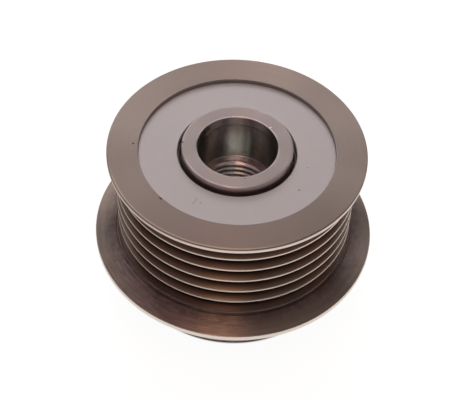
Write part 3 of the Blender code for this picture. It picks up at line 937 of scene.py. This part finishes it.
def plated_sheet():
    """Matt plated sheet: a faint grain and a faint mottle, two specks and a short scratch."""
    finish = Finish("matt_plated_sheet", 0.2, 0.5)
    mottle = finish.noise(finish.place, 0.26, 4.0, 0.6)
    grain = finish.noise(finish.place, 5.2)
    tone = finish.marked(mottle, (240, 233, 234), (244, 237, 238))
    top = PLATE_TOP_Z
    specks = finish.spots((13.25, -10.16, top, 0.15), (14.97, -3.65, top, 0.09))
    start, step = np.array((-8.46, -15.35, top, 0.11)), np.array((0.17, 0.33, 0, 0))
    stroke = [(start + k * step).tolist() for k in range(5)]
    scratch = finish.spots(*stroke, (-6.95, -15.05, top, 0.13))
    marks = finish.strongest(specks, finish.product(scratch, 0.6))
    tone = finish.mix(marks, tone, screen(110, 98, 95))
    finish.set(Base_Color=tone, Roughness=finish.ramp(mottle, 0.3, 0.7, 0.46, 0.54))
    finish.bump(grain, 0.1, 0.01)
    return finish.material


def hardened_steel():
    """Ground bearing steel."""
    finish = Finish("ground_bearing_steel", 1.0, 0.14)
    marks = finish.noise(finish.place, 3.0)
    tone = finish.mix(marks, screen(196, 198, 200), screen(206, 208, 210))
    finish.set(Base_Color=tone, Roughness=finish.ramp(marks, 0.3, 0.7, 0.1, 0.18))
    return finish.material


def spring_steel():
    """Blue-grey tempered strip."""
    finish = Finish("tempered_strip", 1.0, 0.3)
    tint = finish.noise(finish.place, 0.9)
    finish.set(Base_Color=finish.mix(tint, screen(140, 144, 154), screen(164, 160, 160)))
    return finish.material


def cage_plastic():
    """Glass-filled polyamide: warm ivory with a fine fleck."""
    finish = Finish("glass_filled_polyamide", 0.0, 0.5)
    fleck = finish.noise(finish.place, 4.2, 3.0)
    finish.set(Base_Color=finish.mix(fleck, screen(188, 170, 128), screen(206, 190, 150)))
    finish.bump(fleck, 0.15, 0.02)
    return finish.material


def seal_rubber():
    """Moulded nitrile rubber, nearly black and slightly dusty, with a painted pale highlight on the lip.
    """
    finish = Finish("nitrile_rubber", 0.0, 0.6)
    dust = finish.noise(finish.place, 1.5, 4.0)
    tone = finish.mix(dust, screen(30, 28, 28), screen(44, 41, 40))
    lip_r = HUB_END_R + FIT_GAP
    # Painted highlight: the lip bead is painted pale.
    lip = finish.ramp(finish.radius, lip_r + 0.5, lip_r + 0.42)
    tone = finish.mix(lip, tone, screen(150, 142, 140))
    finish.set(Base_Color=tone, Roughness=finish.ramp(dust, 0.3, 0.7, 0.5, 0.7))
    finish.bump(dust, 0.2, 0.02)
    return finish.material


# Studio

# The camera as fitted to the pulley's rings: pixels, millimetres and radians
IMAGE_WIDTH = 469
FOCAL_PIXELS = 1232.41
SENSOR_WIDTH = 36.0
CAMERA_DISTANCE = 261.58
CAMERA_PITCH = 0.8553
CAMERA_ROLL = 0.0538
CAMERA_SHIFT = (0.625, 10.998)

# The floor and the light panels, in metres and degrees
FLOOR_SIZE = 6.0
PANEL_DISTANCE = 0.7
NEUTRAL = (1.0, 1.0, 1.0)

# Each panel: azimuth, elevation, width, depth, radiance, tint
PANELS = {
    "low_rear_panel_118": (118, 27, 0.28, 0.18, 1.8, NEUTRAL),
    "middle_rear_panel_118": (118, 45, 0.27, 0.3, 0.72, NEUTRAL),
    "low_rear_panel_95": (95, 27, 0.28, 0.18, 1.95, NEUTRAL),
    "middle_rear_panel_95": (95, 45, 0.27, 0.3, 0.5, NEUTRAL),
    "low_rear_panel_72": (72, 27, 0.28, 0.18, 1.4, NEUTRAL),
    "middle_rear_panel_72": (72, 45, 0.27, 0.3, 0.48, NEUTRAL),
    "high_rear_panel": (101, 69, 0.42, 0.1, 1.4, NEUTRAL),
    "left_panel": (143, 49, 0.22, 0.28, 0.6, NEUTRAL),
    "right_panel": (42, 40, 0.2, 0.28, 0.8, NEUTRAL),
    "low_right_panel": (-10, 22, 0.3, 0.3, 0.36, (1.0, 0.55, 0.45)),
}


def camera():
    """Looks down on the rear face at the photograph's angle, distance and slight roll."""
    right = np.array((1.0, 0.0, 0.0))
    backward = np.array((0.0, -math.cos(CAMERA_PITCH), math.sin(CAMERA_PITCH)))
    up = np.cross(backward, right)
    roll_right = right * math.cos(CAMERA_ROLL) + up * math.sin(CAMERA_ROLL)
    roll_up = up * math.cos(CAMERA_ROLL) - right * math.sin(CAMERA_ROLL)
    aim = np.array((0.0, 0.0, REAR_FACE_Z))
    stand = aim + CAMERA_DISTANCE * backward - CAMERA_SHIFT[0] * roll_right - CAMERA_SHIFT[1] * roll_up
    data = bpy.data.cameras.new("studio_camera")
    data.sensor_width = SENSOR_WIDTH
    data.lens = FOCAL_PIXELS / IMAGE_WIDTH * SENSOR_WIDTH
    data.clip_start = 0.01
    view = bpy.data.objects.new("studio_camera", data)
    matrix = np.eye(4)
    matrix[:3] = np.stack((roll_right, roll_up, backward, stand * MM), axis=1)
    view.matrix_world = Matrix(matrix.tolist())
    bpy.context.collection.objects.link(view)
    bpy.context.scene.camera = view


def panel(name, azimuth, elevation, width, depth, radiance, tint):
    """A soft panel that faces the pulley from that direction; radiance 1 shows as white."""
    a, e = math.radians(azimuth), math.radians(elevation)
    direction = Vector((math.cos(e) * math.cos(a), math.cos(e) * math.sin(a), math.sin(e)))
    data = bpy.data.lights.new(name, "AREA")
    data.shape = "RECTANGLE"
    data.size, data.size_y = width, depth
    data.energy = radiance * math.pi * width * depth
    data.color = tint
    lamp = bpy.data.objects.new(name, data)
    lamp.location = Vector((0, 0, REAR_FACE_Z * MM)) + direction * PANEL_DISTANCE
    lamp.rotation_euler = direction.to_track_quat("Z", "Y").to_euler()
    bpy.context.collection.objects.link(lamp)


def room():
    """A dim room: what a ray meets is the sum of soft-edged patches of its direction.

    They are a pale band low down all round, a pale ceiling on the left and on the right that ends
    towards the rear, and a warm stretch of ceiling over the middle and the near side.
    """
    world = bpy.data.worlds.new("studio_room")
    world.use_nodes = True
    kit = NodeKit(world.node_tree)
    x, y, z = kit.split(kit.add("ShaderNodeTexCoord").outputs["Generated"])
    horizon, overhead, ceiling = (z, 0.14, 0.08), (z, 0.7, 0.85), (z, 0.6, 0.7)
    left_part, right_part = (x, 0.09, 0.065), (x, 0.065, 0.09)
    not_rear, middle, near = (y, 0.5, 0.28), (y, 0.2, 0.08), (y, -0.6, -0.45)
    black = (0, 0, 0, 1)
    patches = (
        ((0.3, 0.29, 0.29, 1), (horizon,)),
        ((0.34, 0.25, 0.27, 1), (left_part, (x, -0.66, -0.52), overhead, not_rear)),
        ((0.3, 0.27, 0.26, 1), (right_part, (x, 0.66, 0.52), overhead, not_rear)),
        ((0.88, 0.57, 0.34, 1), (left_part, (x, -0.2, -0.15), middle, near, ceiling)),
    )
    total = black
    for colour, edges in patches:
        total = kit.mix(1.0, total, kit.mix(kit.within(*edges), black, colour), "ADD")
    kit.feed(kit.nodes["Background"].inputs["Color"], total)
    bpy.context.scene.world = world


def floor():
    """A white sheet that shows as white, and takes a faint shadow where the pulley stands; inside the
    collar's radius its glow is left out, a painted shadow.
    """
    finish = Finish("white_sheet", 0.0, 0.9)
    finish.set(Base_Color=(0.8, 0.8, 0.8, 1.0), Specular_IOR_Level=0.0)
    sight = finish.add("ShaderNodeLightPath").outputs
    rays = [sight[f"Is {kind} Ray"] for kind in ("Camera", "Glossy", "Transmission")]
    # Painted shadow: inside the collar's radius the floor does not glow.
    glow_beyond_painted_shadow = finish.ramp(finish.radius, COLLAR_R - 0.1, COLLAR_R + 0.3)
    glow = finish.add("ShaderNodeEmission")
    finish.feed(glow.inputs["Strength"], 0.95)
    pale = finish.add("ShaderNodeBsdfDiffuse")
    finish.feed(pale.inputs["Color"], (0.25, 0.25, 0.25, 1.0))
    white = finish.add("ShaderNodeAddShader")
    blend = finish.add("ShaderNodeMixShader")
    for socket, output in (
        (white.inputs[0], pale.outputs[0]),
        (white.inputs[1], glow.outputs[0]),
        (blend.inputs[0], finish.product(finish.strongest(*rays), glow_beyond_painted_shadow)),
        (blend.inputs[1], finish.shader.outputs[0]),
        (blend.inputs[2], white.outputs[0]),
        (finish.nodes["Material Output"].inputs["Surface"], blend.outputs[0]),
    ):
        finish.feed(socket, output)
    half = FLOOR_SIZE / 2
    corners = [(-half, -half, 0), (half, -half, 0), (half, half, 0), (-half, half, 0)]
    mesh = bpy.data.meshes.new("floor")
    mesh.from_pydata(corners, [], [(0, 1, 2, 3)])
    mesh.materials.append(finish.material)
    sheet = bpy.data.objects.new("floor", mesh)
    bpy.context.collection.objects.link(sheet)


def build_pulley():
    """Every finished piece, each in the place of its solid; the clutch cage keeps its own solid."""
    bearing_steel, polyamide, rubber = hardened_steel(), cage_plastic(), seal_rubber()
    pulley_body(phosphated_steel())
    cover_plate(plated_sheet())
    hub(hub_steel())
    lip_seal("rear_seal", REAR_SEAL_Z, RECESS_Z, rubber)
    lip_seal("front_seal", FRONT_SEAL_TOP_Z, FRONT_SEAL_Z, rubber)
    for bearing, (bottom, top) in BEARING_Z.items():
        middle = (bottom + top) / 2
        inner, outer = f"{bearing}_bearing_inner_ring", f"{bearing}_bearing_outer_ring"
        bearing_ring(inner, HUB_SEAT_R + FIT_GAP, -1, bottom, top, bearing_steel)
        bearing_ring(outer, RING_OUTER_R, 1, bottom, top, bearing_steel)
        balls(bearing, middle, bearing_steel)
        ball_cage(f"{bearing}_bearing_cage", bottom, middle, polyamide)
    cam_ring(bearing_steel)
    rollers(bearing_steel)
    springs(spring_steel())
    frame["nodes"]["clutch_cage"].material_slots[0].material = polyamide


def build_studio():
    """The camera, the room, the floor and the light panels."""
    camera()
    room()
    floor()
    for name, settings in PANELS.items():
        panel(name, *settings)
    bpy.context.scene.view_settings.view_transform = "Standard"


build_pulley()
build_studio()
